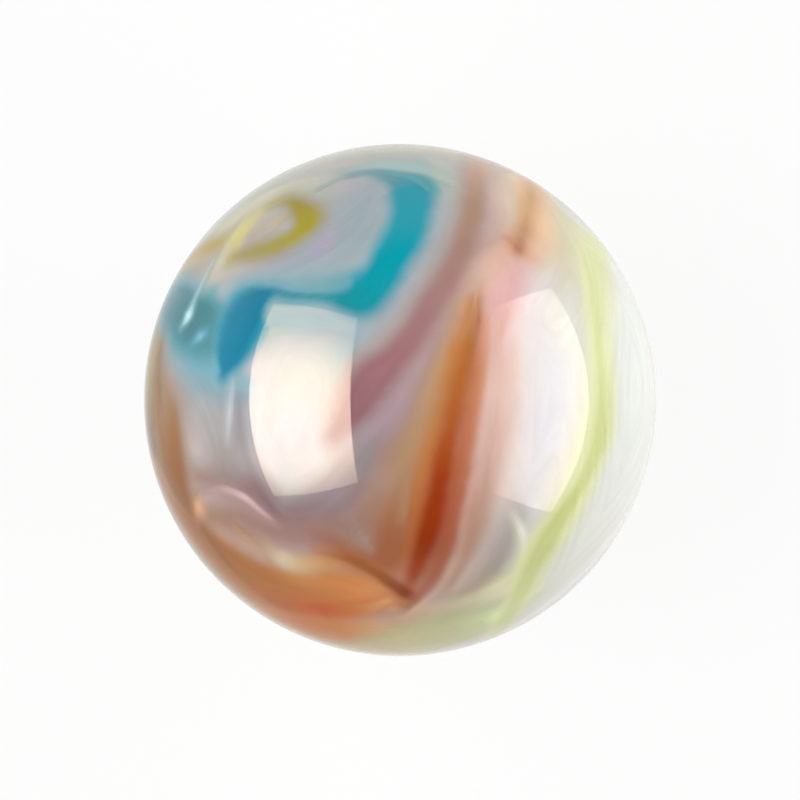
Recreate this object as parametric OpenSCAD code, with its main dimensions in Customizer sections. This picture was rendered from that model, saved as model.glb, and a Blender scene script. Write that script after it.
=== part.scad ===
// Glass marble: a ball of milky glass with veins of coloured glass melted into it.
// The origin is the centre of the ball and +Z points up, through the side with the large swirl.
// The veins lie just under a clear skin and are one with the ball, so the whole is a smooth sphere.

/* [Ball] */
// Diameter of the ball
ball_d = 25; // [16:0.5:42]

/* [Veins] */
// Clear glass over the veins
skin = 0.1; // [0.05:0.05:0.5]
// How far the coloured glass reaches in from the skin
vein_depth = 1.2; // [0.6:0.1:3]

/* [Hidden] */

ball_r = ball_d / 2;
vein_outer_r = ball_r - skin;
vein_inner_r = vein_outer_r - vein_depth;
ball_fn = 96;
// Steps drawn from one station of a vein to the next, so that it runs in a smooth curve
span_steps = 3;

// Each vein is a list of stations along its middle line, in the order the glass was drawn out.
// A station is [x, y, z, half width]: a direction from the centre, and degrees of arc.

// Broad turquoise hook: a blunt end, a bend, a thread and a broad pool
turquoise_hook = [
    [-0.66, 0.10, 0.74, 1.8], [-0.65, 0.17, 0.75, 5.0], [-0.61, 0.27, 0.74, 5.8],
    [-0.57, 0.35, 0.74, 5.0], [-0.50, 0.40, 0.77, 1.9], [-0.40, 0.40, 0.83, 1.4],
    [-0.28, 0.39, 0.88, 1.7], [-0.19, 0.39, 0.90, 2.6], [-0.13, 0.41, 0.90, 3.8],
    [-0.07, 0.47, 0.88, 4.3], [-0.03, 0.55, 0.84, 4.8], [0.01, 0.61, 0.79, 4.9],
    [0.04, 0.69, 0.72, 4.8], [0.04, 0.76, 0.65, 4.8], [0.02, 0.82, 0.57, 4.2],
    [-0.05, 0.85, 0.52, 2.0], [-0.14, 0.86, 0.48, 0.9], [-0.24, 0.85, 0.47, 0.4]
];
// Turquoise tail that leaves the pool and runs round the far side
turquoise_tail = [
    [-0.62, 0.25, 0.74, 5.0], [-0.70, 0.27, 0.66, 7.2], [-0.79, 0.30, 0.54, 7.4],
    [-0.85, 0.35, 0.39, 7.0], [-0.91, 0.39, 0.12, 6.0], [-0.90, 0.38, -0.22, 6.2],
    [-0.78, 0.30, -0.56, 6.8], [-0.50, 0.14, -0.86, 6.8], [-0.18, -0.02, -0.98, 5.0],
    [0.12, -0.14, -0.98, 2.2], [0.40, -0.14, -0.91, 0.8]
];
// Small olive curl
olive_curl = [
    [-0.63, 0.54, 0.56, 1.4], [-0.54, 0.56, 0.63, 2.8], [-0.46, 0.58, 0.67, 3.2],
    [-0.39, 0.62, 0.68, 3.2], [-0.35, 0.68, 0.64, 3.2], [-0.39, 0.73, 0.56, 2.8],
    [-0.44, 0.76, 0.49, 1.6], [-0.49, 0.74, 0.46, 0.8]
];
// Mauve sweep that widens as it goes down
mauve_sweep = [
    [-0.24, -0.13, 0.96, 3.0], [-0.17, -0.04, 0.98, 5.4], [-0.11, 0.06, 0.99, 6.2],
    [-0.03, 0.15, 0.99, 5.4], [0.04, 0.25, 0.97, 4.6], [0.11, 0.35, 0.93, 4.2],
    [0.18, 0.45, 0.87, 4.0], [0.23, 0.56, 0.80, 4.0], [0.27, 0.66, 0.70, 3.8],
    [0.29, 0.77, 0.57, 3.5], [0.30, 0.88, 0.38, 3.4], [0.32, 0.95, -0.05, 3.2],
    [0.20, 0.80, -0.57, 3.6], [-0.12, 0.62, -0.78, 2.6], [-0.42, 0.46, -0.78, 0.6]
];
// Red blade, pointed at both ends
red_blade = [
    [0.01, -0.73, 0.68, 1.8], [0.05, -0.66, 0.75, 2.7], [0.09, -0.56, 0.82, 3.3],
    [0.12, -0.45, 0.89, 3.5], [0.14, -0.34, 0.93, 3.4], [0.16, -0.23, 0.96, 3.3],
    [0.18, -0.12, 0.98, 3.1], [0.21, 0.00, 0.98, 3.0], [0.23, 0.12, 0.96, 2.7],
    [0.26, 0.23, 0.94, 2.2], [0.28, 0.32, 0.91, 1.3], [0.28, 0.39, 0.88, 0.6]
];
// Paler coral glass along the right of the red blade
coral_edge = [
    [0.03, -0.78, 0.63, 1.6], [0.11, -0.69, 0.72, 3.0], [0.17, -0.55, 0.82, 3.4],
    [0.20, -0.40, 0.89, 3.6], [0.23, -0.26, 0.94, 3.4], [0.26, -0.11, 0.96, 3.0],
    [0.28, 0.04, 0.96, 2.6], [0.30, 0.17, 0.94, 2.2], [0.32, 0.29, 0.90, 1.4]
];
// Dark thread that meets the lower point of the red blade
rust_thread = [
    [-0.32, -0.56, 0.76, 0.8], [-0.20, -0.59, 0.78, 1.6], [-0.10, -0.64, 0.76, 1.8],
    [-0.03, -0.69, 0.72, 2.2], [0.02, -0.72, 0.69, 2.2]
];
// Broad peach field between the mauve sweep and the red blade
peach_field = [
    [-0.20, -0.58, 0.79, 2.6], [-0.07, -0.60, 0.80, 6.5], [-0.01, -0.46, 0.89, 7.8],
    [0.02, -0.30, 0.95, 6.2], [0.07, -0.14, 0.99, 4.2], [0.12, 0.02, 0.99, 3.0],
    [0.17, 0.20, 0.96, 1.6]
];
// Orange band round the lower left
orange_band = [
    [-0.56, -0.34, -0.76, 2.2], [-0.84, -0.26, -0.48, 3.4], [-0.97, -0.18, -0.14, 3.4],
    [-0.93, -0.30, 0.20, 3.4], [-0.85, -0.44, 0.30, 4.2], [-0.74, -0.56, 0.38, 5.4],
    [-0.62, -0.65, 0.44, 7.4], [-0.50, -0.70, 0.51, 8.4], [-0.37, -0.73, 0.58, 8.6],
    [-0.24, -0.72, 0.65, 8.8], [-0.13, -0.73, 0.67, 7.4], [-0.04, -0.76, 0.65, 5.0],
    [0.04, -0.78, 0.62, 2.4]
];
// Deeper orange along the lower edge of that band
orange_core = [
    [-0.58, -0.72, 0.38, 1.6], [-0.46, -0.78, 0.43, 3.2], [-0.34, -0.80, 0.49, 4.0],
    [-0.23, -0.81, 0.55, 4.0], [-0.13, -0.79, 0.60, 2.6], [-0.06, -0.76, 0.65, 1.2]
];
// Pink crescent over the left end of the orange band
crescent = [
    [-0.74, -0.35, 0.57, 0.7], [-0.67, -0.34, 0.66, 1.5], [-0.59, -0.35, 0.73, 1.7],
    [-0.52, -0.41, 0.75, 1.5], [-0.46, -0.46, 0.76, 0.6]
];
// Cream puddle between the orange band and the dark thread
cream_puddle = [
    [-0.60, -0.48, 0.64, 0.8], [-0.51, -0.53, 0.68, 1.8], [-0.43, -0.58, 0.69, 3.0],
    [-0.35, -0.61, 0.71, 3.4], [-0.27, -0.61, 0.74, 2.4]
];
// Peach fan near the top right
peach_fan = [
    [0.20, 0.38, -0.90, 0.8], [0.42, 0.58, -0.70, 3.0], [0.54, 0.76, -0.36, 4.4],
    [0.54, 0.84, 0.06, 5.4], [0.50, 0.81, 0.30, 5.2], [0.51, 0.72, 0.47, 5.2],
    [0.51, 0.60, 0.61, 4.4], [0.49, 0.53, 0.69, 2.0]
];
// Darker rib in the peach fan
fan_rib = [
    [0.45, 0.56, 0.69, 1.6], [0.47, 0.63, 0.62, 2.0], [0.48, 0.71, 0.51, 1.8],
    [0.51, 0.80, 0.32, 1.8], [0.51, 0.87, 0.00, 1.6]
];
// Long lime sweep down the right, round the far side at both ends
lime_sweep = [
    [-0.10, -0.48, -0.87, 0.6], [0.04, -0.64, -0.77, 2.0], [0.22, -0.86, -0.46, 3.6],
    [0.33, -0.94, 0.00, 3.2], [0.40, -0.85, 0.34, 2.8], [0.46, -0.75, 0.48, 3.0],
    [0.49, -0.66, 0.57, 3.4], [0.55, -0.54, 0.64, 4.4], [0.60, -0.45, 0.66, 3.6],
    [0.66, -0.36, 0.66, 2.8], [0.71, -0.25, 0.66, 2.6], [0.74, -0.13, 0.66, 2.6],
    [0.76, 0.00, 0.65, 2.4], [0.76, 0.13, 0.64, 2.2], [0.75, 0.25, 0.61, 2.2],
    [0.74, 0.38, 0.55, 2.6], [0.74, 0.50, 0.45, 3.2], [0.77, 0.61, 0.20, 4.0],
    [0.78, 0.50, -0.36, 3.6], [0.60, 0.32, -0.74, 2.4], [0.30, 0.18, -0.94, 0.6]
];
// Red blade on the far side
far_blade = [
    [0.62, -0.72, -0.30, 0.6], [0.66, -0.50, -0.56, 2.6], [0.64, -0.26, -0.72, 3.6],
    [0.62, -0.02, -0.78, 3.0], [0.66, 0.20, -0.72, 0.6]
];

function unit(v) = v / norm(v);
function direction(s) = unit([s.x, s.y, s.z]);

// Smooth curve through four stations, at t from the second to the third
function between(a, b, c, d, t) =
    0.5 * (2 * b + (c - a) * t + (2 * a - 5 * b + 4 * c - d) * t ^ 2
        + (3 * b - a - 3 * c + d) * t ^ 3);
function station(v, i) = v[max(0, min(len(v) - 1, i))];
function smooth(v) = [
    for (i = [0 : len(v) - 2]) for (k = [0 : span_steps - 1])
        between(station(v, i - 1), v[i], v[i + 1], station(v, i + 2), k / span_steps),
    v[len(v) - 1]
];

// Corners of a vein's cross section at station i: two on the inside, then two under the skin
function section(path, i) =
    let (
        middle = direction(path[i]),
        ahead = direction(station(path, i + 1)) - direction(station(path, i - 1)),
        side = unit(cross(middle, ahead)) * tan(path[i][3]),
        left = unit(middle - side),
        right = unit(middle + side)
    )
    [left * vein_inner_r, right * vein_inner_r, right * vein_outer_r, left * vein_outer_r];

module vein(stations) {
    path = smooth(stations);
    last = len(path) - 1;
    corners = [for (i = [0 : last]) each section(path, i)];
    walls = [
        for (i = [0 : last - 1]) for (k = [0 : 3])
            let (a = 4 * i + k, b = 4 * i + (k + 1) % 4)
            each [[a, b, b + 4], [a, b + 4, a + 4]]
    ];
    start_cap = [[3, 2, 1, 0]];
    end_cap = [[for (k = [0 : 3]) 4 * last + k]];
    polyhedron(corners, concat(walls, start_cap, end_cap));
}

module marble() {
    color("darkcyan") vein(turquoise_hook);
    color("steelblue") vein(turquoise_tail);
    color("olive") vein(olive_curl);
    color("rosybrown") vein(mauve_sweep);
    color("orangered") vein(red_blade);
    color("lightsalmon") vein(coral_edge);
    color("sienna") vein(rust_thread);
    color("darksalmon") vein(peach_field);
    color("coral") vein(orange_band);
    color("darkorange") vein(orange_core);
    color("thistle") vein(crescent);
    color("wheat") vein(cream_puddle);
    color("sandybrown") vein(peach_fan);
    color("peru") vein(fan_rib);
    color("yellowgreen") vein(lime_sweep);
    color("firebrick") vein(far_blade);
    color("lavender", 0.4) sphere(r = ball_r, $fn = ball_fn);
}

marble();
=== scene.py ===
import math
import bpy
import numpy as np
from mathutils import Matrix, Vector


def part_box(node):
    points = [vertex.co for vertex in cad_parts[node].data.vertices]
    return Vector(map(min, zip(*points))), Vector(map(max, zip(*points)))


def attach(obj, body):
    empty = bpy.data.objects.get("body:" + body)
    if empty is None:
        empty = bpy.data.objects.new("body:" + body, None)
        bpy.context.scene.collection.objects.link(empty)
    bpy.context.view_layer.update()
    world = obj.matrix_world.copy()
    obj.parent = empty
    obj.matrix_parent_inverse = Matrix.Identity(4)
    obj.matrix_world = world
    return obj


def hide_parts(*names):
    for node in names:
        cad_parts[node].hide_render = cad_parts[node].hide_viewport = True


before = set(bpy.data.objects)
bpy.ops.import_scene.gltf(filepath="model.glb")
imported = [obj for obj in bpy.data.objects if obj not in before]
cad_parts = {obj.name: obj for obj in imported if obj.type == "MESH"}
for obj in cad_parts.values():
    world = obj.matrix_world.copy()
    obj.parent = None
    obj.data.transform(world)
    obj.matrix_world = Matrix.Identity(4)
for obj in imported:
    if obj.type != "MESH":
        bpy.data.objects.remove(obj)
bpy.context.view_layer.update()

# The ball: one gob of hot glass, rolled round between steel rollers until it is a true sphere.
# It is solid, and it replaces the CAD ball. Rolling leaves its skin uneven by a few hundredths
# of a millimetre, which bends the edges of the reflections a little.
MM = 0.001
low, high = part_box("marble")
ball_radius = min(high - low) / 2
squares_along_a_face = 128
roll_marks = 7 * MM
roll_depth = 0.02 * MM

bpy.ops.object.select_all(action="DESELECT")
bpy.ops.mesh.primitive_cube_add(size=2 * ball_radius)
ball = bpy.context.object
ball.name = "glass_ball"
bpy.ops.object.mode_set(mode="EDIT")
bpy.ops.mesh.subdivide(number_cuts=squares_along_a_face - 1)
bpy.ops.object.mode_set(mode="OBJECT")
rounding = ball.modifiers.new("rounding", "CAST")
rounding.cast_type = "SPHERE"
rounding.factor = 1
rounding.use_radius_as_size = False
rounding.size = ball_radius
bpy.ops.object.modifier_apply(modifier=rounding.name)

rollers = bpy.data.textures.new("roll_marks", "CLOUDS")
rollers.noise_scale = roll_marks
rollers.noise_depth = 1
rolling = ball.modifiers.new("rolling", "DISPLACE")
rolling.texture = rollers
rolling.mid_level = 1
rolling.strength = roll_depth
bpy.ops.object.modifier_apply(modifier=rolling.name)
bpy.ops.object.shade_smooth()

# The swirl: strings of coloured glass, laid on the gob while it was soft and drawn out as it was
# rolled. The hazes are those that melted into the milky glass, and the veins, over them, those
# that kept their edges: each is a ribbon that swells, thins and curls. A few of them are not glass
# but painted light: painted highlights, glints, reflections and shade, each marked where it stands.
# name: stations, colours from the first station to the last, colours of the left and right
# edge, softness of these edges in mm, and how far the glass covers what lies under it
# A station on the side that faces up is [x, y, half width], and one elsewhere [x, y, z, half
# width]: a direction from the centre, whose own length is 1, and degrees of arc.
hazes = {
    "far_cream": (
        [
            [0.75, -0.62, -0.22, 8], [0.74, -0.2, -0.64, 15], [0.6, 0.3, -0.74, 12],
            [0.22, 0.62, -0.75, 6],
        ],
        ["#CCCEC2", "#CCC8BC", "#C8C0B8", "#BCB6B4"],
        "#C4BCC0", "#D0D2C6", 3.0, 3.0, 0.9,
    ),
    "far_lilac": (
        [
            [-0.6, 0.74, -0.3, 6], [-0.34, 0.62, -0.71, 12], [-0.04, 0.22, -0.97, 14],
            [0.24, -0.3, -0.92, 8],
        ],
        ["#A4A6B4", "#ACA2B0", "#B2A6AC", "#BAB0AE"],
        "#A8B0B4", "#B8A49C", 3.0, 3.0, 0.9,
    ),
    "far_sand": (
        [
            [-0.8, -0.55, -0.2, 7], [-0.62, -0.56, -0.55, 14], [-0.28, -0.66, -0.7, 13],
            [0.1, -0.8, -0.58, 7],
        ],
        ["#A07C4C", "#AE8A64", "#B69E82", "#B4B08C"],
        "#A88058", "#BCB0A4", 2.6, 3.0, 0.92,
    ),
    # Painted light: a near-white field down the right side, standing for the bright card and softbox
    # shining back from and through the rim.
    "painted_pale_rim_light": (
        [
            [0.42, -0.85, 6], [0.66, -0.6, 16], [0.84, -0.28, 28], [0.9, 0.05, 34], [0.85, 0.36, 27],
            [0.7, 0.6, 13], [0.52, 0.78, 4],
        ],
        ["#C4C6BA", "#CED0CC", "#D6DAD6", "#D0CCBE"],
        "#D8D0CC", "#E4E8E0", 1.6, 2.0, 0.97,
    ),
    "umber_bed": (
        [
            [-0.9, 0.3, 4], [-0.93, 0.1, 7], [-0.93, -0.12, 8], [-0.87, -0.34, 9], [-0.77, -0.54, 10],
            [-0.62, -0.71, 10], [-0.42, -0.84, 9], [-0.2, -0.92, 8], [0, -0.95, 6],
        ],
        ["#7A6646", "#885A26", "#8A5C12", "#A0680F", "#A48840"],
        "#A07C50", "#7C5A14", 1.6, 1.2, 0.97,
    ),
    # Painted reflection: a pinkish white laid under the top of the right softbox's reflection, to tint
    # it.
    "painted_pink_window_reflection": (
        [
            [0.47, 0.14, 3], [0.48, 0.36, 7], [0.55, 0.46, 8], [0.6, 0.54, 5],
        ],
        ["#D4C8C8", "#D6CED0", "#D6D2CE", "#D4CAB8"],
        "#DCC8CC", "#D2D2C4", 2.4, 2.4, 0.9,
    ),
    # Painted reflection: a lilac white laid under the right softbox's reflection, to tint it.
    "painted_lilac_window_reflection": (
        [
            [0.46, -0.34, 4], [0.51, -0.18, 8], [0.54, 0, 9], [0.54, 0.16, 8], [0.5, 0.3, 4],
        ],
        ["#C2C0C6", "#C4C6CE", "#C6CAD2", "#CCC8CE"],
        "#D4C4C0", "#CCD0CC", 2.0, 2.0, 0.9,
    ),
    "grey_wedge": (
        [
            [0.2, -0.8, 3], [0.28, -0.69, 6], [0.335, -0.56, 7], [0.37, -0.45, 6], [0.37, -0.34, 2.5],
        ],
        ["#A89E84", "#988A7C", "#928C88", "#9A9490", "#BCB0A8"],
        "#B09488", "#A4A498", 1.2, 0.6, 0.95,
    ),
    "white_squiggle": (
        [
            [0.42, -0.42, 0.5], [0.455, -0.485, 1.3], [0.468, -0.55, 1.2], [0.455, -0.61, 0.6],
        ],
        ["#C8C8C0", "#E2E2D8", "#DEDED0", "#C8CCA8"],
        "#B8B8AC", "#C0C498", 0.4, 0.4, 0.85,
    ),
    "blush": (
        [
            [0.18, -0.66, 3], [0.25, -0.5, 5], [0.3, -0.3, 6], [0.345, -0.06, 6.5], [0.365, 0.14, 5.5],
            [0.36, 0.3, 3.5],
        ],
        ["#9A7662", "#B68E7C", "#D6B4A8", "#DCB0A2"],
        "#B87E62", "#DCC8C0", 0.9, 1.6, 0.95,
    ),
    "crown": (
        [
            [-0.72, 0.68, 4], [-0.52, 0.83, 5], [-0.28, 0.935, 5], [0, 0.97, 5.5], [0.26, 0.94, 5],
            [0.46, 0.87, 4],
        ],
        ["#ACAC98", "#BAC2B4", "#C4C4B2", "#B8946C"],
        "#9CA490", "#AEB6AC", 0.9, 1.2, 0.92,
    ),
    "yellow_mist": (
        [
            [-0.74, 0.62, 3], [-0.63, 0.7, 4.5], [-0.5, 0.78, 5], [-0.34, 0.83, 4],
        ],
        ["#B8A884", "#C8C2A0", "#D0CCB4", "#C4C4B8"],
        "#AEB6A4", "#BEB684", 1.0, 1.2, 0.85,
    ),
    "hook_heart": (
        [
            [-0.52, 0.49, 4], [-0.36, 0.53, 7], [-0.22, 0.62, 8], [-0.13, 0.74, 7], [-0.1, 0.82, 4],
        ],
        ["#A2A4B6", "#9CA8B0", "#98A8AE", "#9CAAB4", "#A0AEB4"],
        "#A8A4AC", "#86AAB0", 1.4, 1.4, 0.92,
    ),
    "violet_wisp": (
        [
            [-0.33, 0.55, 1.2], [-0.28, 0.59, 2.4], [-0.26, 0.65, 1.4],
        ],
        ["#A8A4BC", "#B6A0BC", "#ACA8B8"],
        "#AEA6B8", "#AEA6B8", 0.8, 0.8, 0.8,
    ),
    "linen": (
        [
            [-0.84, 0.49, 3], [-0.72, 0.5, 5], [-0.6, 0.5, 4.5], [-0.48, 0.53, 3],
        ],
        ["#70766A", "#B4AA9C", "#B4ADAA", "#A8A2A6"],
        "#A89C88", "#98ACB0", 0.9, 1.0, 0.9,
    ),
    "ochre_smear": (
        [
            [-0.91, 0.38, 3], [-0.87, 0.48, 3.4], [-0.8, 0.56, 3.4], [-0.7, 0.595, 3.2],
            [-0.62, 0.63, 2.4],
        ],
        ["#7C6434", "#94743C", "#A48A48", "#A89240", "#BEB660"],
        "#9A8E68", "#A8946C", 0.7, 0.8, 0.92,
    ),
    "cream_brush": (
        [
            [-0.73, 0.42, 1], [-0.69, 0.505, 2.2], [-0.64, 0.6, 2.4], [-0.595, 0.685, 1.2],
        ],
        ["#A8ACA4", "#C4BEB0", "#CCC8A4", "#CECA98"],
        "#A89C80", "#C0BCA0", 0.6, 0.6, 0.85,
    ),
    "yellow_glow": (
        [
            [-0.63, 0.55, 2], [-0.6, 0.64, 3.4], [-0.53, 0.715, 3.2], [-0.44, 0.78, 2.2],
        ],
        ["#C2B676", "#D0C67E", "#C8BC90", "#B2AC88"],
        "#B8B48E", "#B4A888", 0.8, 0.9, 0.92,
    ),
    "curl_heart": (
        [
            [-0.55, 0.62, 1.8], [-0.5, 0.65, 2.4], [-0.455, 0.685, 1.6],
        ],
        ["#AEA294", "#B8AAA0", "#BCAC7C"],
        "#AEA484", "#A09268", 0.7, 0.7, 0.95,
    ),
    "line_haze": (
        [
            [-0.62, 0.43, 2], [-0.45, 0.43, 3.6], [-0.3, 0.425, 3.6], [-0.17, 0.44, 4],
        ],
        ["#88A8B4", "#86A8B2", "#7AA6AE", "#54A0AC"],
        "#96ACB6", "#4C98A4", 1.0, 0.5, 0.92,
    ),
    "lavender_band": (
        [
            [-0.14, 0.14, 3.4], [-0.07, 0.26, 4.8], [0.04, 0.41, 4.8], [0.13, 0.57, 4.6],
            [0.175, 0.7, 4.4], [0.185, 0.81, 4.2], [0.15, 0.9, 2.6],
        ],
        ["#A0A2A6", "#A4A8AE", "#A8B0B2", "#BCC4BA"],
        "#74B0BE", "#BCB0A4", 1.2, 1.0, 0.95,
    ),
    "teal_mist": (
        [
            [-0.2, 0.88, 1.6], [-0.06, 0.895, 3], [0.08, 0.875, 3.2], [0.17, 0.84, 1.8],
        ],
        ["#9CB4AE", "#9CC4C2", "#A0C4C0", "#BCC4BA"],
        "#A2B8A6", "#50A4AC", 0.8, 0.8, 0.9,
    ),
    "hook_corner": (
        [
            [0.02, 0.835, 1.4], [0.07, 0.83, 2.8], [0.12, 0.79, 1.8],
        ],
        ["#50A6AE", "#48A4AC", "#68AAAE"],
        "#40A0A8", "#2098A8", 0.4, 0.6, 0.95,
    ),
    "window_teal": (
        [
            [-0.52, 0.3, 2], [-0.38, 0.29, 3.6], [-0.24, 0.28, 3.4], [-0.16, 0.25, 1.6],
        ],
        ["#84B0B8", "#80B4BC", "#8CB0B8"],
        "#7CB0B8", "#A0B0B4", 1.0, 2.2, 0.62,
    ),
    "clay_side": (
        [
            [0.11, -0.76, 1.4], [0.18, -0.67, 2.6], [0.232, -0.53, 3], [0.25, -0.39, 2.6],
            [0.27, -0.27, 1.4],
        ],
        ["#A07C64", "#A4806A", "#A4745C", "#A87058", "#BC8C78"],
        "#A07058", "#B09484", 0.9, 1.2, 0.85,
    ),
    "mauve_field": (
        [
            [0.34, 0.56, 3], [0.37, 0.66, 4.4], [0.38, 0.77, 4.6], [0.36, 0.88, 4],
        ],
        ["#BC9C84", "#CCAEA0", "#DEC6B2", "#CEB498"],
        "#B08C7C", "#D4BE94", 0.9, 0.9, 0.92,
    ),
    "cream_band": (
        [
            [0.57, 0.46, 3], [0.61, 0.57, 5], [0.61, 0.68, 5], [0.55, 0.79, 3.5],
        ],
        ["#D0C8BE", "#CEC0A8", "#D6C6A8", "#C0A078"],
        "#D2B494", "#CCCAA4", 1.0, 1.0, 0.92,
    ),
    "pink_veil": (
        [
            [0.35, 0.22, 2], [0.37, 0.33, 4.6], [0.38, 0.44, 7], [0.41, 0.53, 6], [0.45, 0.6, 3],
        ],
        ["#D8A898", "#D8A8A2", "#DAACAC", "#D6AAA2", "#C89886"],
        "#D8B49C", "#E0C2C6", 0.8, 1.0, 0.95,
    ),
    "shell_band": (
        [
            [0.22, 0.39, 2.2], [0.28, 0.465, 4.2], [0.34, 0.525, 3.8], [0.41, 0.58, 2],
        ],
        ["#CCA488", "#DCB8A0", "#DCB49E", "#D0A68E"],
        "#B89884", "#DCB0A0", 0.8, 0.9, 0.92,
    ),
    "knot": (
        [
            [0.41, 0.6, 1], [0.45, 0.57, 1.8], [0.5, 0.535, 1.2],
        ],
        ["#C48E78", "#B4705E", "#CC9484"],
        "#C48C74", "#D8A090", 0.4, 0.5, 0.9,
    ),
    "sand_field": (
        [
            [-0.04, -0.2, 3], [0.05, -0.08, 4.4], [0.12, 0.06, 4.4], [0.17, 0.2, 4], [0.21, 0.33, 3.8],
            [0.25, 0.43, 2.8],
        ],
        ["#A2886F", "#AC9076", "#B89880", "#C8A484"],
        "#A69092", "#BC8A5C", 1.0, 0.7, 0.95,
    ),
    "lilac_sweep": (
        [
            [-0.2, -0.36, 2.6], [-0.12, -0.2, 4.4], [-0.01, -0.03, 4.8], [0.07, 0.12, 4.2],
            [0.13, 0.26, 3.4],
        ],
        ["#968488", "#94808A", "#A6909C", "#AC9290", "#AE9488"],
        "#92808A", "#AA9084", 0.9, 1.0, 0.92,
    ),
    "plum_bank": (
        [
            [-0.76, -0.29, 3], [-0.64, -0.31, 5], [-0.53, -0.37, 5.4], [-0.44, -0.44, 5.4],
            [-0.33, -0.43, 6], [-0.23, -0.36, 6], [-0.16, -0.27, 4.6], [-0.12, -0.18, 3],
        ],
        ["#947468", "#886866", "#8C7678", "#988A8E", "#908C90"],
        "#988478", "#9C7C7C", 0.9, 1.2, 0.95,
    ),
    "rosewood": (
        [
            [-0.74, -0.43, 3.4], [-0.62, -0.46, 6], [-0.46, -0.5, 5.4], [-0.31, -0.5, 5.4],
            [-0.18, -0.47, 4.8], [-0.1, -0.38, 3.4],
        ],
        ["#96704C", "#98746E", "#9A7872", "#9C8278"],
        "#8C6E74", "#AC8068", 1.1, 1.1, 0.92,
    ),
    "peach_field": (
        [
            [-0.22, -0.56, 4], [-0.07, -0.6, 6.5], [-0.01, -0.46, 7.8], [0.02, -0.3, 6.2],
            [0.07, -0.14, 4.2], [0.12, 0.02, 3], [0.17, 0.2, 1.6],
        ],
        ["#98562A", "#9A5830", "#A67858", "#AC8660", "#B88C60"],
        "#9C7860", "#A85834", 2.0, 0.7, 0.95,
    ),
    "pink_fleck": (
        [
            [0.14, 0.37, 0.8], [0.175, 0.41, 1.8], [0.2, 0.45, 0.8],
        ],
        ["#AC8484", "#BC8484", "#A88478"],
        "#A8847C", "#B48C84", 0.6, 0.6, 0.85,
    ),
    # Partly ochre glass and partly painted reflection: the left rim is darkened to stand for dark
    # things mirrored there.
    "rim_ochre_and_painted_reflection": (
        [
            [-0.54, -0.83, 4], [-0.74, -0.66, 4.5], [-0.87, -0.47, 4.5], [-0.935, -0.29, 5],
            [-0.965, -0.12, 6], [-0.97, 0.05, 6], [-0.955, 0.22, 5], [-0.91, 0.36, 3],
        ],
        ["#846018", "#7E5818", "#4C2000", "#8C7838", "#7C6840"],
        "#6A5414", "#8A6430", 1.0, 1.0, 0.97,
    ),
    "left_mist": (
        [
            [-0.66, -0.27, 4], [-0.675, -0.12, 7.5], [-0.71, 0.02, 8.5], [-0.78, 0.13, 7],
            [-0.84, 0.22, 3],
        ],
        ["#948480", "#A09E9E", "#A0A2A4", "#98989C", "#8AA0A8"],
        "#988484", "#8C8E94", 1.4, 0.8, 0.95,
    ),
    "amber_rim": (
        [
            [-0.6, -0.68, 4], [-0.73, -0.55, 5], [-0.83, -0.38, 6], [-0.855, -0.22, 6.4],
            [-0.865, -0.06, 5], [-0.9, 0.08, 2.6],
        ],
        ["#985C0C", "#80440A", "#864800", "#8A5820", "#8A7660"],
        "#744008", "#8C6C50", 0.8, 1.4, 0.95,
    ),
    "pool_mist": (
        [
            [-0.58, 0.06, 2.4], [-0.67, 0.09, 4], [-0.77, 0.14, 4.5], [-0.86, 0.22, 4],
        ],
        ["#80B2BE", "#6EA8B6", "#6CA0B0", "#74929C"],
        "#5898A8", "#A4B4BC", 1.0, 1.0, 0.92,
    ),
    "tail_spot": (
        [
            [-0.7, 0.27, 1], [-0.73, 0.34, 2.8], [-0.71, 0.41, 1.4],
        ],
        ["#589CA4", "#5C948E", "#6CA4A4"],
        "#5C9CA0", "#58989C", 0.5, 0.5, 0.9,
    ),
    "orange_band": (
        [
            [-0.56, -0.34, -0.76, 2.2], [-0.84, -0.26, -0.48, 3.4], [-0.98, -0.18, -0.14, 3.4],
            [-0.94, -0.3, 0.2, 3.4], [-0.85, -0.44, 0.3, 4.2], [-0.735, -0.55, 0.38, 7.2],
            [-0.62, -0.64, 0.44, 9], [-0.5, -0.7, 0.51, 8.4], [-0.37, -0.725, 0.58, 8.6],
            [-0.24, -0.725, 0.65, 8.8], [-0.13, -0.735, 0.67, 7.4], [-0.04, -0.76, 0.65, 5],
            [0.04, -0.78, 0.62, 2.4],
        ],
        ["#B47040", "#904A0C", "#8E5010", "#A8641C", "#CC7E40", "#CE9A70"],
        "#A87048", "#A06010", 0.9, 0.8, 0.97,
    ),
    "orange_core": (
        [
            [-0.58, -0.72, 1.6], [-0.46, -0.775, 3.2], [-0.34, -0.8, 4], [-0.23, -0.805, 4],
            [-0.13, -0.79, 2.6], [-0.06, -0.76, 1.2],
        ],
        ["#A85C0C", "#B05200", "#B84400", "#C07030", "#D09868"],
        "#BC5410", "#B45C10", 0.9, 0.8, 0.97,
    ),
    "sand_lip": (
        [
            [-0.52, -0.83, 5], [-0.36, -0.88, 8], [-0.2, -0.9, 9], [-0.04, -0.88, 7], [0.08, -0.84, 4],
        ],
        ["#A4600A", "#BC5C0C", "#BE7014", "#CC9C68", "#CCB494"],
        "#C46820", "#A88C50", 0.9, 0.9, 0.92,
    ),
    "foot_cream": (
        [
            [-0.66, -0.73, 2.5], [-0.5, -0.85, 4], [-0.3, -0.942, 5], [-0.1, -0.982, 5.5],
            [0.08, -0.985, 4],
        ],
        ["#A88448", "#BC9A64", "#CCB284", "#C8B88C"],
        "#B48848", "#CCC09C", 1.0, 0.8, 0.9,
    ),
    # Painted highlight: a small pale peach glint, not glass.
    "painted_peach_glint": (
        [
            [-0.78, -0.45, 0.8], [-0.765, -0.41, 2], [-0.75, -0.36, 1],
        ],
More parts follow.
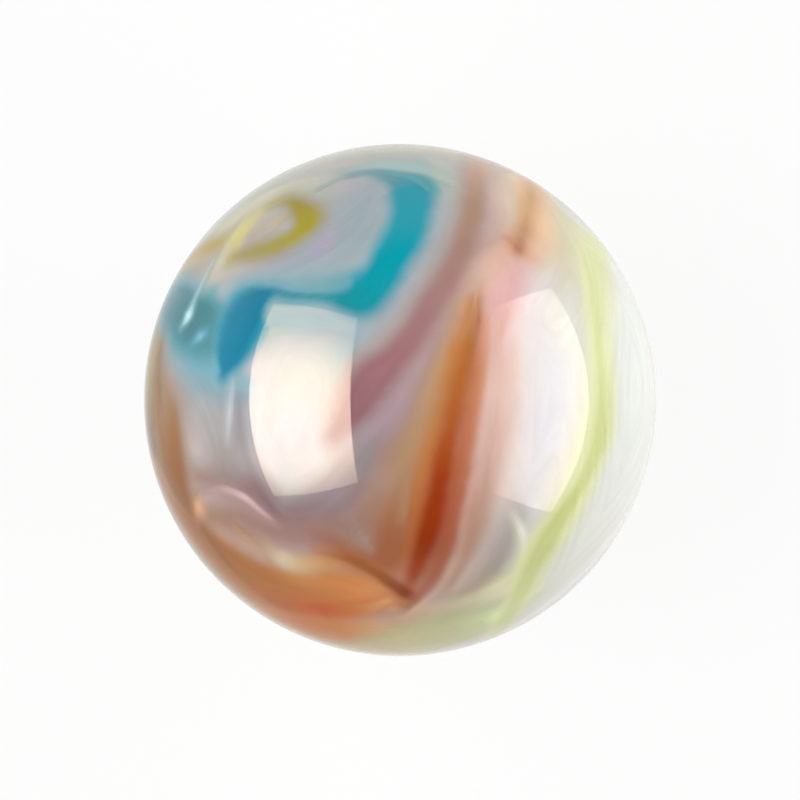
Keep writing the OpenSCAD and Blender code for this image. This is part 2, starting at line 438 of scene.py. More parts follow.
        ["#B8845C", "#D8A480", "#B49078"],
        "#B07C48", "#C49C84", 0.5, 0.5, 0.9,
    ),
    # Painted highlight: a pale cream blotch of reflected light over the orange, fading at its ends.
    "cream_puddle": (
        [
            [-0.6, -0.48, 0.8], [-0.52, -0.54, 2.2], [-0.44, -0.6, 3.8], [-0.36, -0.62, 3.8],
            [-0.27, -0.61, 2.4],
        ],
        ["#98786C", "#A88870", "#C8B89E", "#C8A47A", "#C48C50"],
        "#AC8C7C", "#C08C54", 0.7, 0.9, 0.92,
    ),
    "foot_sand": (
        [
            [-0.02, -0.84, 2.6], [0.12, -0.8, 4.4], [0.25, -0.77, 4.4], [0.36, -0.73, 3.8],
        ],
        ["#B89478", "#BCA68E", "#B8B498", "#CACAA6"],
        "#A48C7A", "#AAA67C", 0.9, 0.9, 0.92,
    ),
    "pale_foot": (
        [
            [0.28, -0.77, 2], [0.38, -0.71, 4], [0.46, -0.64, 2.6],
        ],
        ["#BCB498", "#D0CEAC", "#CCD0A4"],
        "#C4BC9C", "#C8CCA0", 0.8, 0.8, 0.9,
    ),
    "sage_foot": (
        [
            [-0.16, -0.96, 4], [0, -0.94, 8], [0.15, -0.91, 10], [0.28, -0.865, 9], [0.4, -0.8, 5],
            [0.5, -0.74, 2.4],
        ],
        ["#B8A074", "#BCB484", "#B2B688", "#BECA9A", "#C8CEAC"],
        "#A8AC80", "#B4BC94", 1.0, 1.0, 0.95,
    ),
    "pale_spot": (
        [
            [0.31, -0.845, 1.6], [0.37, -0.825, 3.6], [0.43, -0.79, 2],
        ],
        ["#B4C48C", "#D2DEAE", "#C4D09C"],
        "#C0CC98", "#B8C48C", 0.6, 0.6, 0.9,
    ),
    "lime_glow": (
        [
            [0.45, -0.74, 3.8], [0.52, -0.58, 5.4], [0.62, -0.43, 6], [0.69, -0.25, 6],
            [0.745, -0.05, 5.6], [0.755, 0.12, 5.4], [0.75, 0.28, 6], [0.745, 0.43, 7.4],
            [0.71, 0.57, 8.4], [0.62, 0.7, 5],
        ],
        ["#C4C69E", "#CED2A6", "#D8DCB0", "#D6D8B2", "#CCC8A8"],
        "#C6C2A6", "#C8CCA6", 0.9, 1.1, 0.92,
    ),
    # Painted highlight: a thin pale strip of light just left of the left softbox's reflection.
    "painted_white_highlight": (
        [
            [-0.645, -0.16, 0.5], [-0.635, -0.04, 1.1], [-0.625, 0.07, 0.6],
        ],
        ["#BCBCC4", "#E4E4EC", "#C0CCD8"],
        "#BCBEC6", "#BCBEC6", 0.4, 0.4, 0.5,
    ),
    # Painted shade: a dark grey line along the left edge of the left softbox's reflection.
    "painted_window_edge_shade": (
        [
            [-0.61, 0.1, 0.6], [-0.603, -0.05, 1.2], [-0.58, -0.19, 1.5], [-0.535, -0.31, 1.9],
            [-0.475, -0.41, 1.4],
        ],
        ["#7C8C96", "#827E84", "#86787A", "#7C686C", "#7C6068"],
        "#8C8C90", "#90848A", 0.6, 0.6, 0.45,
    ),
}
veins = {
    "peach_fan": (
        [
            [0.2, 0.38, -0.9, 0.8], [0.42, 0.58, -0.7, 3], [0.54, 0.76, -0.36, 4.4],
            [0.54, 0.84, 0.06, 5.4], [0.5, 0.81, 0.3, 5.2], [0.51, 0.71, 0.47, 5.2],
            [0.51, 0.6, 0.61, 4.4], [0.49, 0.53, 0.69, 2],
        ],
        ["#D09C70", "#D49C70", "#DCB084", "#E6C09C", "#DAB09C"],
        "#DEC2A2", "#DCC4A4", 1.0, 0.6, 0.95,
    ),
    "fan_rib": (
        [
            [0.445, 0.565, 1.6], [0.465, 0.63, 2], [0.485, 0.71, 1.8], [0.505, 0.8, 1.8],
            [0.51, 0.87, 1.6],
        ],
        ["#A86850", "#B8845C", "#C29460", "#BE8E58", "#B08444"],
        "#C88C58", "#C48C58", 0.6, 0.7, 0.9,
    ),
    "mauve_sweep": (
        [
            [-0.24, -0.13, 0.97, 3], [-0.175, -0.04, 0.99, 5.4], [-0.11, 0.06, 0.99, 6.2],
            [-0.025, 0.15, 0.99, 4.8], [0.055, 0.25, 0.97, 4.2], [0.115, 0.355, 0.93, 4.2],
            [0.18, 0.455, 0.88, 4], [0.23, 0.56, 0.8, 4], [0.265, 0.66, 0.7, 3.8],
            [0.285, 0.77, 0.57, 3.5], [0.295, 0.87, 0.38, 3.4], [0.32, 0.94, -0.05, 3.2],
            [0.2, 0.8, -0.57, 3.6], [-0.12, 0.62, -0.78, 2.6], [-0.42, 0.46, -0.78, 0.6],
        ],
        ["#885E64", "#98686E", "#A07874", "#A4826E", "#CCA490", "#A89694"],
        "#AC9484", "#AC949A", 0.7, 1.1, 0.97,
    ),
    "turquoise_tail": (
        [
            [-0.62, 0.25, 0.74, 5], [-0.7, 0.265, 0.66, 7.2], [-0.785, 0.3, 0.54, 7.4],
            [-0.85, 0.355, 0.39, 7], [-0.9, 0.39, 0.12, 6], [-0.9, 0.38, -0.22, 6.2],
            [-0.78, 0.3, -0.56, 6.8], [-0.5, 0.14, -0.86, 6.8], [-0.18, -0.02, -0.98, 5],
            [0.12, -0.14, -0.98, 2.2], [0.4, -0.14, -0.91, 0.8],
        ],
        ["#56949C", "#20727E", "#187486", "#2286A0", "#3C94A8", "#88B4B8"],
        "#2A909C", "#4C9CAC", 0.7, 0.7, 0.95,
    ),
    "turquoise_hook": (
        [
            [-0.66, 0.1, 1.8], [-0.64, 0.16, 5], [-0.605, 0.26, 7], [-0.56, 0.35, 6.4], [-0.48, 0.4, 2],
            [-0.4, 0.39, 1], [-0.28, 0.38, 1.3], [-0.19, 0.37, 3.4], [-0.135, 0.387, 5],
            [-0.07, 0.465, 4.6], [-0.025, 0.545, 4.8], [0.015, 0.615, 4.9], [0.035, 0.69, 4.8],
            [0.042, 0.77, 5.3], [0.022, 0.812, 4.8], [-0.045, 0.842, 2.2], [-0.12, 0.86, 0.8],
            [-0.18, 0.85, 0.4],
        ],
        ["#007C9C", "#007896", "#1C8E98", "#009CAC", "#0098AC", "#949C9E"],
        "#48A0B4", "#2894A8", 0.5, 0.55, 1.0,
    ),
    "hook_line": (
        [
            [-0.31, 0.8, 0.4], [-0.22, 0.845, 0.7], [-0.13, 0.868, 0.9], [-0.03, 0.86, 1.1],
            [0.05, 0.838, 1.1], [0.105, 0.795, 0.6],
        ],
        ["#9CA4A4", "#84A0A4", "#5CA0A8", "#50A8B0", "#5CACB4"],
        "#6C9CA0", "#30929C", 0.3, 0.4, 0.9,
    ),
    "olive_curl": (
        [
            [-0.63, 0.54, 1.4], [-0.54, 0.56, 2.8], [-0.46, 0.585, 3.2], [-0.39, 0.62, 3.2],
            [-0.348, 0.68, 4.2], [-0.385, 0.735, 2.8], [-0.44, 0.755, 1.6], [-0.49, 0.74, 0.8],
        ],
        ["#9A925A", "#A09644", "#A49810", "#9A8A1C", "#ACA46C"],
        "#9A9474", "#9C9060", 0.6, 0.7, 0.97,
    ),
    "bark_line": (
        [
            [-0.965, -0.1, 0.6], [-0.935, -0.2, 1.4], [-0.885, -0.31, 2], [-0.835, -0.39, 1.8],
            [-0.77, -0.465, 1.8], [-0.7, -0.565, 1.6], [-0.62, -0.66, 1.3], [-0.52, -0.745, 1.1],
            [-0.42, -0.8, 0.6],
        ],
        ["#6E5014", "#6A3C04", "#683808", "#723C08", "#8C480C"],
        "#7C4810", "#84500C", 0.9, 0.9, 0.5,
    ),
    # Painted highlight: a pale pink crescent streak of light, not glass.
    "crescent": (
        [
            [-0.74, -0.35, 0.7], [-0.67, -0.335, 1.1], [-0.59, -0.36, 1.2], [-0.52, -0.415, 1],
            [-0.46, -0.46, 0.6],
        ],
        ["#A88878", "#B89894", "#D8BABC", "#D4B4B4", "#A48482"],
        "#A08080", "#B4948E", 0.35, 0.5, 0.9,
    ),
    "lime_sweep": (
        [
            [-0.1, -0.48, -0.87, 0.6], [0.04, -0.64, -0.77, 2], [0.22, -0.86, -0.46, 3.6],
            [0.33, -0.94, 0, 3.2], [0.4, -0.85, 0.34, 2.8], [0.455, -0.75, 0.48, 3],
            [0.49, -0.66, 0.57, 3.4], [0.545, -0.54, 0.64, 4.4], [0.6, -0.45, 0.66, 3.6],
            [0.66, -0.355, 0.66, 2.8], [0.715, -0.25, 0.65, 3], [0.757, -0.13, 0.64, 4.2],
            [0.768, 0, 0.64, 3.4], [0.76, 0.13, 0.64, 2.4], [0.745, 0.25, 0.61, 2.2],
            [0.74, 0.38, 0.55, 2.6], [0.74, 0.5, 0.45, 3.2], [0.76, 0.6, 0.2, 4],
            [0.78, 0.5, -0.36, 3.6], [0.6, 0.32, -0.74, 2.4], [0.3, 0.18, -0.94, 0.6],
        ],
        ["#C2CCA2", "#BEC690", "#B6BC76", "#C0C68C", "#CCD29C", "#CCD49C"],
        "#D0D294", "#CCD292", 0.6, 0.8, 0.92,
    ),
    "amber_edge": (
        [
            [0.05, -0.42, 1.6], [0.08, -0.28, 2.8], [0.125, -0.13, 3], [0.16, 0.01, 2.8],
            [0.19, 0.12, 2.6], [0.22, 0.23, 2.4], [0.245, 0.34, 1.8],
        ],
        ["#AC6438", "#B27848", "#AE8256", "#BA8048", "#C89870"],
        "#AC8A68", "#B86428", 0.9, 0.5, 0.95,
    ),
    "coral_edge": (
        [
            [0.03, -0.775, 1.6], [0.105, -0.69, 2.6], [0.165, -0.55, 2.9], [0.196, -0.4, 2.9],
            [0.226, -0.26, 3], [0.256, -0.11, 2.7], [0.28, 0.04, 2.6], [0.3, 0.17, 2.2],
            [0.315, 0.29, 1.4],
        ],
        ["#96583A", "#9A543A", "#A8604A", "#B8724E", "#C88860", "#DCA68A"],
        "#A04C28", "#D0B2A6", 0.5, 0.9, 0.95,
    ),
    "red_blade": (
        [
            [0.01, -0.73, 1.8], [0.05, -0.66, 2.7], [0.085, -0.56, 3.5], [0.118, -0.45, 3.8],
            [0.14, -0.34, 3.4], [0.16, -0.23, 3.3], [0.185, -0.12, 3.1], [0.21, 0, 2.8],
            [0.235, 0.12, 2.4], [0.258, 0.23, 1.9], [0.272, 0.31, 1.1], [0.28, 0.37, 0.5],
        ],
        ["#98481E", "#8E340F", "#983A12", "#A85A28", "#AE6A2E", "#C08C5C"],
        "#B4662E", "#A85634", 0.6, 0.7, 1.0,
    ),
    "rust_thread": (
        [
            [-0.32, -0.565, 0.8], [-0.2, -0.59, 1.6], [-0.1, -0.64, 1.8], [-0.03, -0.69, 2.2],
            [0.02, -0.725, 2.2],
        ],
        ["#AC7450", "#9A582A", "#92501F", "#863C12", "#80300C"],
        "#A8663C", "#B87440", 0.5, 0.5, 0.95,
    ),
    # Painted reflection: a bright cyan-white glint and its pale streak, not a string of glass.
    "painted_cyan_glint": (
        [
            [-0.83, 0.28, 0.6], [-0.805, 0.32, 1.9], [-0.785, 0.37, 1.2], [-0.755, 0.44, 0.8],
            [-0.71, 0.53, 0.6],
        ],
        ["#70B0BC", "#C4ECF0", "#90BCC4", "#A8B8BC", "#BCB4B0"],
        "#78B0B8", "#78B0B8", 0.4, 0.4, 0.9,
    ),
    # Painted highlight: a small blue-white glint, not glass.
    "blue_glint": (
        [
            [-0.79, 0.21, 0.5], [-0.755, 0.24, 1.5], [-0.72, 0.26, 0.6],
        ],
        ["#4C9CB0", "#7CBCD4", "#3C94B0"],
        "#58A4BC", "#58A4BC", 0.4, 0.4, 0.85,
    ),
    "far_blade": (
        [
            [0.62, -0.72, -0.3, 0.6], [0.66, -0.5, -0.56, 2.6], [0.64, -0.26, -0.72, 3.6],
            [0.62, -0.02, -0.78, 3], [0.66, 0.2, -0.72, 0.6],
        ],
        ["#B8622C", "#A84A20", "#983C1C", "#A84A20", "#C27946"],
        "#C27946", "#CFA896", 0.3, 0.6, 1.0,
    ),
}
# The smooth curve of a vein has this many points from one station to the next. The colours along
# it fill its heart, out to the first share of its half width, and have turned into the colour of
# its edge at the second. No point counts as further out than the largest share.
points_a_span = 16
heart_share, edge_share = 0.3, 1.3
largest_share = 3


def placed(station):
    """A station in full: one on the side that faces up is given its height above the middle."""
    if len(station) == 4:
        return station
    x, y, half_width = station
    return [x, y, math.sqrt(max(0, 1 - x * x - y * y)), half_width]


def smooth(stations):
    """The stations joined by a smooth curve that passes through each of them."""
    s = np.array([placed(station) for station in stations])
    s = np.vstack([s[:1], s, s[-1:]])
    a, b, c, d = s[:-3, None], s[1:-2, None], s[2:-1, None], s[3:, None]
    t = (np.arange(points_a_span) / points_a_span)[None, :, None]
    curve = 0.5 * (
        2 * b + (c - a) * t + (2 * a - 5 * b + 4 * c - d) * t ** 2
        + (3 * b - a - 3 * c + d) * t ** 3
    )
    return np.vstack([curve.reshape(-1, s.shape[1]), s[-2:-1]])


def unit(v):
    """Each direction at a length of 1."""
    return v / np.linalg.norm(v, axis=-1, keepdims=True)


def lay(stations, skin):
    """For each point of the skin: how far across the vein it lies, from -1 at its left edge to 1
    at its right edge, how far along it, from 0 to 1 by station number, and the gap to its edge,
    in mm, which is negative inside the vein. Left is as seen from outside, looking along it."""
    curve = smooth(stations)
    middle = unit(curve[:, :3])
    half_width = np.radians(curve[:, 3])
    step = np.gradient(middle, axis=0)
    ahead = unit(step)
    right = unit(np.cross(ahead, middle))
    nearest = np.argmax(skin @ middle.T, axis=1)
    facing = np.einsum("ij,ij->i", skin, middle[nearest])
    across = np.arctan2(np.einsum("ij,ij->i", skin, right[nearest]), facing)
    past = np.arctan2(np.einsum("ij,ij->i", skin, ahead[nearest]), facing)
    at_an_end = (nearest == 0) | (nearest == len(middle) - 1)
    gap = np.hypot(across, np.where(at_an_end, past, 0)) - half_width[nearest]
    share_across = np.clip(across / half_width[nearest], -largest_share, largest_share)
    steps_along = nearest + past / np.linalg.norm(step, axis=1)[nearest]
    share_along = np.clip(steps_along / (len(middle) - 1), 0, 1)
    return np.stack([share_across, share_along, gap * ball_radius / MM], axis=1)


def linear(hex_colour):
    """An sRGB hex colour as linear red, green, blue and alpha."""
    parts = [int(hex_colour[i:i + 2], 16) / 255 for i in (1, 3, 5)]
    return [c / 12.92 if c <= 0.04045 else ((c + 0.055) / 1.055) ** 2.4 for c in parts] + [1]


def smoothstep(start, end, value):
    """0 before the start, 1 past the end, and a soft rise between them."""
    t = np.clip((value - start) / (end - start), 0, 1)
    return t * t * (3 - 2 * t)


skin = np.empty(len(ball.data.vertices) * 3)
ball.data.vertices.foreach_get("co", skin)
skin = unit(skin.reshape(-1, 3))

# The hazes are laid over one another, each on those before it, and kept as one colour for each
# point of the skin, with how far it covers the milky glass
haze = np.zeros((len(skin), 4))
least_cover = 0.001
gaps = []
for stations, colours, left, right, soft_left, soft_right, cover in hazes.values():
    across, along, gap = lay(stations, skin).T
    side = np.clip((across + 1) / 2, 0, 1)[:, None]
    edge = np.array(linear(left)) * (1 - side) + np.array(linear(right)) * side
    shares = np.linspace(0, 1, len(colours))
    channels = np.array([linear(colour) for colour in colours]).T
    heart = np.stack([np.interp(along, shares, channel) for channel in channels], axis=1)
    edging = smoothstep(heart_share, edge_share, np.abs(across))[:, None]
    body = heart * (1 - edging) + edge * edging
    softness = soft_left + (soft_right - soft_left) * side[:, 0]
    mask = cover * (1 - smoothstep(-softness, softness, gap))[:, None]
    haze = haze * (1 - mask) + body * mask
    gaps.append(gap)
haze[:, :3] /= np.maximum(haze[:, 3:], least_cover)
attribute = ball.data.attributes.new("haze", "FLOAT_COLOR", "POINT")
attribute.data.foreach_set("color", haze.astype(np.float32).ravel())

# The veins keep their sharp edges, so for each of them only its field is kept, and the glass
# works its colours out from that
for name, (stations, *_) in veins.items():
    field = lay(stations, skin)
    gaps.append(field[:, 2])
    attribute = ball.data.attributes.new(name, "FLOAT_VECTOR", "POINT")
    attribute.data.foreach_set("vector", field.astype(np.float32).ravel())

# The flow is the gap to the nearest haze or vein, evened out where two are about as near
blend_mm = 0.8
flow = -blend_mm * np.log(np.exp(-np.stack(gaps) / blend_mm).sum(axis=0))
attribute = ball.data.attributes.new("flow", "FLOAT", "POINT")
attribute.data.foreach_set("value", flow.astype(np.float32))

# The glass: soda-lime glass made milky by a little opacifier, which scatters light about 1 mm
# deep. Fire polishing leaves it as smooth as a mirror. The pearly lustre is a film of some 80 nm,
# from a metal salt that was sprayed on while the ball was hot.

# The size of a noise is given as how many of its waves there are in a mm, and nearly all of a
# noise lies between its low and its high value
noise_low, noise_high = 0.3, 0.7
clouds_per_mm = 0.22
clouds_follow_veins = 0.7
streaks_per_mm = 2.4
streaks_drawn_out = 0.1
streaks_shift_along = 0.05
streaks_shift_across = 0.6
streaks_shade = 0.3
wander_per_mm = 0.5
wander_mm = 0.15
lustre_per_mm = 0.12
thinnest_film_nm, thickest_film_nm = 68.0, 92.0


def add(tree, kind, settings, links):
    """Adds a node, with its settings, and gives each of its inputs a value or a link."""
    node = tree.nodes.new(kind)
    for name, value in settings.items():
        setattr(node, name, value)
    for key, value in links.items():
        if isinstance(value, bpy.types.NodeSocket):
            tree.links.new(value, node.inputs[key])
        else:
            node.inputs[key].default_value = value
    return node


glass = bpy.data.materials.new("milky_glass")
glass.use_nodes = True
glass.node_tree.nodes.clear()
tree = glass.node_tree
place = add(tree, "ShaderNodeTexCoord", {}, {}).outputs["Object"]
place_mm = add(tree, "ShaderNodeVectorMath", {"operation": "SCALE"}, {0: place, "Scale": 1 / MM})

# Milky base: lavender grey, with faint sage and pink clouds drawn out along the veins
flow_at = add(tree, "ShaderNodeAttribute", {"attribute_name": "flow"}, {}).outputs["Fac"]
flow_vector = add(tree, "ShaderNodeCombineXYZ", {}, {0: flow_at})
cloud_at = add(tree, "ShaderNodeVectorMath", {"operation": "MULTIPLY_ADD"},
               {0: flow_vector.outputs[0], 1: (clouds_follow_veins, 0.0, 0.0),
                2: place_mm.outputs[0]})
clouds = add(tree, "ShaderNodeTexNoise", {},
             {"Vector": cloud_at.outputs[0], "Scale": clouds_per_mm, "Detail": 3.0,
              "Roughness": 0.45})
base = add(tree, "ShaderNodeValToRGB", {}, {0: clouds.outputs["Fac"]})
base.color_ramp.elements[0].position = noise_low
base.color_ramp.elements[0].color = linear("#A8B4AE")
base.color_ramp.elements[1].position = noise_high
base.color_ramp.elements[1].color = linear("#C4B6B2")
middle_stop = base.color_ramp.elements.new(0.5)
middle_stop.color = linear("#B8B8BC")
haze_at = add(tree, "ShaderNodeAttribute", {"attribute_name": "haze"}, {})
hazed = add(tree, "ShaderNodeMix", {"data_type": "RGBA"},
            {0: haze_at.outputs["Alpha"], 6: base.outputs["Color"], 7: haze_at.outputs["Color"]})
colour = hazed.outputs[2]

# Fine streaks that run with the veins, 0.4 mm apart, and the slow wander of the veins' edges
streak_at = add(tree, "ShaderNodeVectorMath", {"operation": "MULTIPLY_ADD"},
                {0: place_mm.outputs[0], 1: (streaks_drawn_out,) * 3, 2: flow_vector.outputs[0]})
streaks = add(tree, "ShaderNodeTexNoise", {},
              {"Vector": streak_at.outputs[0], "Scale": streaks_per_mm, "Detail": 5.0,
               "Roughness": 0.6})
streak = add(tree, "ShaderNodeMath", {"operation": "SUBTRACT"},
             {0: streaks.outputs["Fac"], 1: 0.5}).outputs[0]
wobble = add(tree, "ShaderNodeTexNoise", {},
             {"Vector": place_mm.outputs[0], "Scale": wander_per_mm, "Detail": 2.0,
              "Roughness": 0.5})
raggedness = add(tree, "ShaderNodeMapRange", {},
                 {"Value": wobble.outputs["Fac"], "To Min": -wander_mm,
                  "To Max": wander_mm}).outputs[0]

# Each vein in turn covers the glass before it: its colours along it, its edges' colours across
# it, and a mask that is soft or hard at either edge
for name, (_, colours, left, right, soft_left, soft_right, cover) in veins.items():
    vein = add(tree, "ShaderNodeAttribute", {"attribute_name": name}, {})
    parts = add(tree, "ShaderNodeSeparateXYZ", {}, {0: vein.outputs["Vector"]})
    across, along, gap = parts.outputs
    drift = add(tree, "ShaderNodeMath", {"operation": "MULTIPLY_ADD"},
                {0: streak, 1: streaks_shift_along, 2: along})
    body = add(tree, "ShaderNodeValToRGB", {}, {0: drift.outputs[0]})
    ramp = body.color_ramp.elements
    ramp[1].color = linear(colours[-1])
    for i in range(1, len(colours) - 1):
        ramp.new(i / (len(colours) - 1)).color = linear(colours[i])
    ramp[0].color = linear(colours[0])
    nudged = add(tree, "ShaderNodeMath", {"operation": "MULTIPLY_ADD"},
                 {0: streak, 1: streaks_shift_across, 2: across})
    side = add(tree, "ShaderNodeMapRange", {},
               {"Value": nudged.outputs[0], "From Min": -1.0, "From Max": 1.0})
    edges = add(tree, "ShaderNodeMix", {"data_type": "RGBA"},
                {0: side.outputs[0], 6: linear(left), 7: linear(right)})
    from_heart = add(tree, "ShaderNodeMath", {"operation": "ABSOLUTE"}, {0: nudged.outputs[0]})
    edging = add(tree, "ShaderNodeMapRange", {"interpolation_type": "SMOOTHSTEP"},
                 {"Value": from_heart.outputs[0], "From Min": heart_share,
                  "From Max": edge_share})
    edged = add(tree, "ShaderNodeMix", {"data_type": "RGBA"},
                {0: edging.outputs[0], 6: body.outputs["Color"], 7: edges.outputs[2]})
    softness = add(tree, "ShaderNodeMapRange", {},
                   {"Value": side.outputs[0], "To Min": soft_left, "To Max": soft_right})
    inner = add(tree, "ShaderNodeMath", {"operation": "MULTIPLY"},
                {0: softness.outputs[0], 1: -1.0})
    ragged = add(tree, "ShaderNodeMath", {"operation": "ADD"}, {0: raggedness, 1: gap})
    mask = add(tree, "ShaderNodeMapRange", {"interpolation_type": "SMOOTHSTEP"},
               {"Value": ragged.outputs[0], "From Min": inner.outputs[0],
                "From Max": softness.outputs[0], "To Min": cover, "To Max": 0.0})
    over = add(tree, "ShaderNodeMix", {"data_type": "RGBA"},
               {0: mask.outputs[0], 6: colour, 7: edged.outputs[2]})
    colour = over.outputs[2]

# The streaks are thin threads of paler and darker glass all through the swirl
threads = add(tree, "ShaderNodeMath", {"operation": "MULTIPLY_ADD"},
              {0: streak, 1: streaks_shade, 2: 1.0})
threaded = add(tree, "ShaderNodeVectorMath", {"operation": "SCALE"},
               {0: colour, "Scale": threads.outputs[0]})

# The lustre's film is uneven, as sprayed. The IOR of the glass is that of soda-lime glass, and
# the film's is matched to the pale shine of the ball.
lustre = add(tree, "ShaderNodeTexNoise", {},
             {"Vector": place_mm.outputs[0], "Scale": lustre_per_mm, "Detail": 2.0,
              "Roughness": 0.5})
film = add(tree, "ShaderNodeMapRange", {},
           {"Value": lustre.outputs["Fac"], "From Min": noise_low, "From Max": noise_high,
            "To Min": thinnest_film_nm, "To Max": thickest_film_nm})
surface = add(tree, "ShaderNodeBsdfPrincipled", {}, {
    "Base Color": threaded.outputs[0],
    "Roughness": 0.02,
    "IOR": 1.52,
    "Subsurface Weight": 0.2,
    "Subsurface Radius": (1.2, 1.0, 0.9),
    "Subsurface Scale": MM,
    "Transmission Weight": 0.05,
    "Thin Film Thickness": film.outputs[0],
    "Thin Film IOR": 1.38,
})
add(tree, "ShaderNodeOutputMaterial", {}, {"Surface": surface.outputs[0]})
ball.data.materials.append(glass)
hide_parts("marble")
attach(ball, "root")

# The table: a sheet of matt white card that the marble lies on. The camera and the glass see it
# almost white, like an overexposed sheet, but it lights the marble no more for that: it glows to
# them by these two shares, and the rest is plain card, which keeps the marble's shadow.
floor_size = 1.2
glow_in_view = 0.9
glow_in_glass = 0.74
bpy.ops.object.select_all(action="DESELECT")
bpy.ops.mesh.primitive_plane_add(size=floor_size, location=(0, 0, low.z))
table = bpy.context.object
table.name = "white_card"
bpy.ops.object.transform_apply(location=True)
card = bpy.data.materials.new("white_card")
card.use_nodes = True
card.node_tree.nodes.clear()
tree = card.node_tree
paper = add(tree, "ShaderNodeBsdfDiffuse", {}, {"Color": linear("#DCDCDA")})
bright = add(tree, "ShaderNodeEmission", {}, {"Color": (1, 1, 1, 1), "Strength": 1.0})
ray = add(tree, "ShaderNodeLightPath", {}, {})
mirrored = add(tree, "ShaderNodeMath", {"operation": "MAXIMUM"},
               {0: ray.outputs["Is Glossy Ray"], 1: ray.outputs["Is Transmission Ray"]})
in_glass = add(tree, "ShaderNodeMath", {"operation": "MULTIPLY"},
               {0: mirrored.outputs[0], 1: glow_in_glass})
in_view = add(tree, "ShaderNodeMath", {"operation": "MULTIPLY"},
              {0: ray.outputs["Is Camera Ray"], 1: glow_in_view})
seen = add(tree, "ShaderNodeMath", {"operation": "MAXIMUM"},
           {0: in_view.outputs[0], 1: in_glass.outputs[0]})
shown = add(tree, "ShaderNodeMixShader", {},
            {0: seen.outputs[0], 1: paper.outputs[0], 2: bright.outputs[0]})
add(tree, "ShaderNodeOutputMaterial", {}, {"Surface": shown.outputs[0]})
table.data.materials.append(card)

# Each softbox is an area lamp that lights the marble and, in the same place, a glowing cloth
# that only shines back from the glass: a lamp is far brighter to look at than what it lights.
# The cloth glows most in the middle, in front of its bulb, and less towards its edges.
# name: direction of the middle, width and height for a metre of distance, glow in front of the
# bulb, where the bulb is, how fast the glow falls off across and along, and the share left there
softboxes = {
    "left_softbox": ((-0.715, 0.0, 0.70), 0.89, 1.56, 25.0, (0.5, 0.42), (0.9, 2.0), 0.2),
    "right_softbox": ((0.937, 0.0, 0.35), 1.04, 1.60, 8.2, (0.62, 0.5), (1.5, 0.9), 0.0),
}
light_distance = 0.5
lamp_radiance = 3.7
fall_starts, fall_ends = 0.3, 1.0
for name, (towards, width, height, glow, bulb, falloff, share_left) in softboxes.items():
    direction = Vector(towards).normalized()
    upright = Vector((0, 1, 0))
    across = upright.cross(direction)
    turn = Matrix((across, upright, direction)).transposed().to_euler()
    lamp = bpy.data.lights.new(name, "AREA")
    lamp.shape = "RECTANGLE"
    lamp.size = width * light_distance
    lamp.size_y = height * light_distance
    lamp.energy = lamp_radiance * math.pi * lamp.size * lamp.size_y
    holder = bpy.data.objects.new(name, lamp)
    bpy.context.scene.collection.objects.link(holder)
    holder.location = direction * light_distance
    holder.rotation_euler = turn
    holder.visible_camera = False
    holder.visible_glossy = False

    bpy.ops.object.select_all(action="DESELECT")
    bpy.ops.mesh.primitive_plane_add(size=1, location=direction * light_distance, rotation=turn)
    cloth = bpy.context.object
    cloth.name = name + "_cloth"
    cloth.scale = (lamp.size, lamp.size_y, 1)
    glowing = bpy.data.materials.new(name + "_cloth")
    glowing.use_nodes = True
    glowing.node_tree.nodes.clear()
    tree = glowing.node_tree
    at = add(tree, "ShaderNodeTexCoord", {}, {})
    off_middle = add(tree, "ShaderNodeVectorMath", {"operation": "SUBTRACT"},
                     {0: at.outputs["UV"], 1: (*bulb, 0)})
    spread = add(tree, "ShaderNodeVectorMath", {"operation": "MULTIPLY"},
                 {0: off_middle.outputs[0], 1: (*falloff, 0)})
    distance = add(tree, "ShaderNodeVectorMath", {"operation": "LENGTH"}, {0: spread.outputs[0]})
    strength = add(tree, "ShaderNodeMapRange", {"interpolation_type": "SMOOTHSTEP"},
                   {"Value": distance.outputs["Value"], "From Min": fall_starts,
                    "From Max": fall_ends, "To Min": glow, "To Max": glow * share_left})
    shine = add(tree, "ShaderNodeEmission", {}, {"Strength": strength.outputs[0]})
    add(tree, "ShaderNodeOutputMaterial", {}, {"Surface": shine.outputs[0]})
    cloth.data.materials.append(glowing)
    cloth.visible_camera = False
    cloth.visible_diffuse = False
    cloth.visible_transmission = False
    cloth.visible_shadow = False

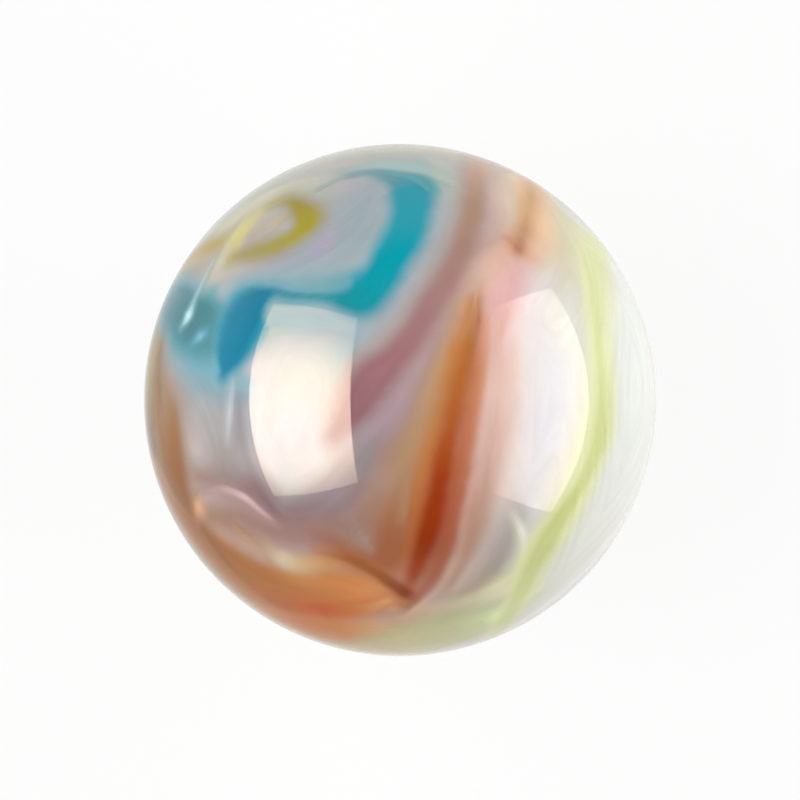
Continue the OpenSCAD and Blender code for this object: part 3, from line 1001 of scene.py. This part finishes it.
# The room: dark, so that it hardly lights the marble, with a pale backdrop that the camera and
# the glass see. Both are brightest at the horizon and fade upwards. Heights are the z of the
# direction looked in, which is 0 at the horizon and 1 straight up.
room_fade_starts, room_fade_ends = 0.02, 0.14
backdrop_fade_starts, backdrop_fade_ends = 0.0, 0.45
room_at_horizon = 0.3
backdrop_at_horizon = 0.95
overhead = 0.05
world = bpy.data.worlds.new("studio")
bpy.context.scene.world = world
world.use_nodes = True
world.node_tree.nodes.clear()
tree = world.node_tree
toward = add(tree, "ShaderNodeTexCoord", {}, {})
height_of = add(tree, "ShaderNodeSeparateXYZ", {}, {0: toward.outputs["Generated"]})
room = add(tree, "ShaderNodeMapRange", {"interpolation_type": "SMOOTHSTEP"},
           {"Value": height_of.outputs[2], "From Min": room_fade_starts,
            "From Max": room_fade_ends, "To Min": room_at_horizon, "To Max": overhead})
backdrop = add(tree, "ShaderNodeMapRange", {"interpolation_type": "SMOOTHSTEP"},
               {"Value": height_of.outputs[2], "From Min": backdrop_fade_starts,
                "From Max": backdrop_fade_ends, "To Min": backdrop_at_horizon,
                "To Max": overhead})
ray = add(tree, "ShaderNodeLightPath", {}, {})
mirrored = add(tree, "ShaderNodeMath", {"operation": "MAXIMUM"},
               {0: ray.outputs["Is Glossy Ray"], 1: ray.outputs["Is Transmission Ray"]})
looked_at = add(tree, "ShaderNodeMath", {"operation": "MAXIMUM"},
                {0: ray.outputs["Is Camera Ray"], 1: mirrored.outputs[0]})
shining = add(tree, "ShaderNodeMix", {"data_type": "FLOAT"},
              {0: looked_at.outputs[0], 2: room.outputs[0], 3: backdrop.outputs[0]})
sky = add(tree, "ShaderNodeBackground", {},
          {"Color": (1, 1, 1, 1), "Strength": shining.outputs[0]})
add(tree, "ShaderNodeOutputWorld", {}, {"Surface": sky.outputs[0]})

# The camera looks straight down on the marble, as the photograph does, from far enough away for
# a long lens, and the marble fills this share of the picture's width
share_of_frame = 0.64
camera = bpy.data.cameras.new("camera")
camera.lens = 200
camera.sensor_width = 36
camera.clip_start = 0.01
camera.clip_end = 10
view = bpy.data.objects.new("camera", camera)
bpy.context.scene.collection.objects.link(view)
frame_width = 2 * ball_radius / share_of_frame
view.location = (0, 0, frame_width * camera.lens / camera.sensor_width)
bpy.context.scene.camera = view
bpy.context.scene.view_settings.view_transform = "Standard"
